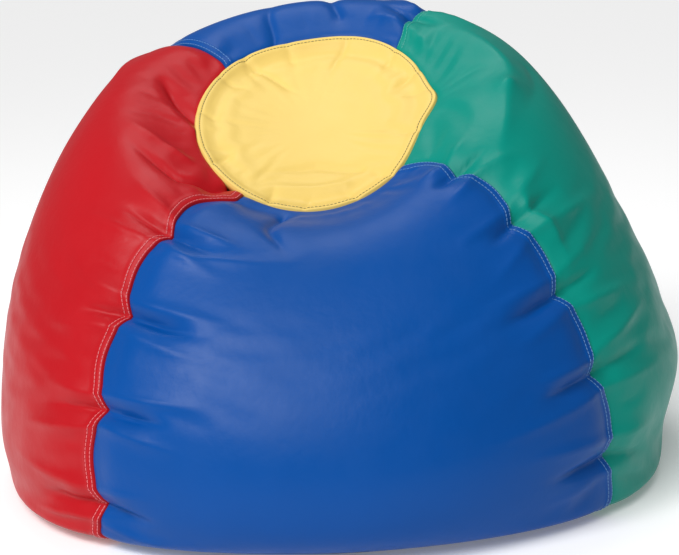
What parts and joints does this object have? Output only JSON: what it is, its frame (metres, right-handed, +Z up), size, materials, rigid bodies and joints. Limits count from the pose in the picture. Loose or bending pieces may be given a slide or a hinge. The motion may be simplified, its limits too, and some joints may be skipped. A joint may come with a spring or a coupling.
{
  "type": "bean bag chair",
  "caption": "Round child's bean bag chair: coloured vinyl gores, a dished cap that tips forward, a zipped base and a liner filled with beads.",
  "frame": {"origin": "on the floor, under the middle of the bag's box", "axes": "+Z up, -Y the way the sitter faces, +X to the right of someone who stands in front of the chair"},
  "size_m": [0.8934, 0.8749, 0.6071],
  "materials": {
    "blue_vinyl": "smooth semi-gloss upholstery vinyl",
    "red_vinyl": "smooth semi-gloss upholstery vinyl",
    "green_vinyl": "smooth semi-gloss upholstery vinyl",
    "yellow_vinyl": "smooth semi-gloss upholstery vinyl",
    "blue_thread": "spun polyester thread",
    "red_thread": "spun polyester thread",
    "green_thread": "spun polyester thread",
    "olive_thread": "spun polyester thread",
    "liner_film": "point-bonded nonwoven",
    "beads": "expanded foam beads",
    "zip_tape": "woven polyester tape",
    "zip_coil": "polyester monofilament coil",
    "zip_metal": "die-cast, tumbled"
  },
  "bodies": {
    "bag": {"back_left_topstitch_1": "blue_thread", "back_left_topstitch_2": "blue_thread", "back_panel": "blue_vinyl", "back_right_topstitch_1": "green_thread", "back_right_topstitch_2": "green_thread", "base_panel_front": "blue_vinyl", "base_panel_rear": "blue_vinyl", "base_zip_stitch_front": "blue_thread", "base_zip_stitch_rear": "blue_thread", "bead_fill": "beads", "cap_topstitch": "olive_thread", "front_left_topstitch_1": "red_thread", "front_left_topstitch_2": "red_thread", "front_panel": "blue_vinyl", "front_right_topstitch_1": "blue_thread", "front_right_topstitch_2": "blue_thread", "left_panel": "red_vinyl", "liner_back_panel": "liner_film", "liner_base": "liner_film", "liner_front_panel": "liner_film", "liner_left_panel": "liner_film", "liner_right_panel": "liner_film", "liner_top": "liner_film", "right_panel": "green_vinyl", "top_cap": "yellow_vinyl", "zip_bottom_stop": "zip_metal", "zip_coil_front": "zip_coil", "zip_coil_rear": "zip_coil", "zip_tape_front": "zip_tape", "zip_tape_rear": "zip_tape", "zip_top_stop_front": "zip_metal", "zip_top_stop_rear": "zip_metal"},
    "slider": {"zip_slider": "zip_metal"}
  },
  "joints": [
    {"name": "zip_slide", "type": "slide", "parent": "bag", "child": "slider", "axis": [-1, 0, 0], "range_m": [0, 0.599]}
  ]
}
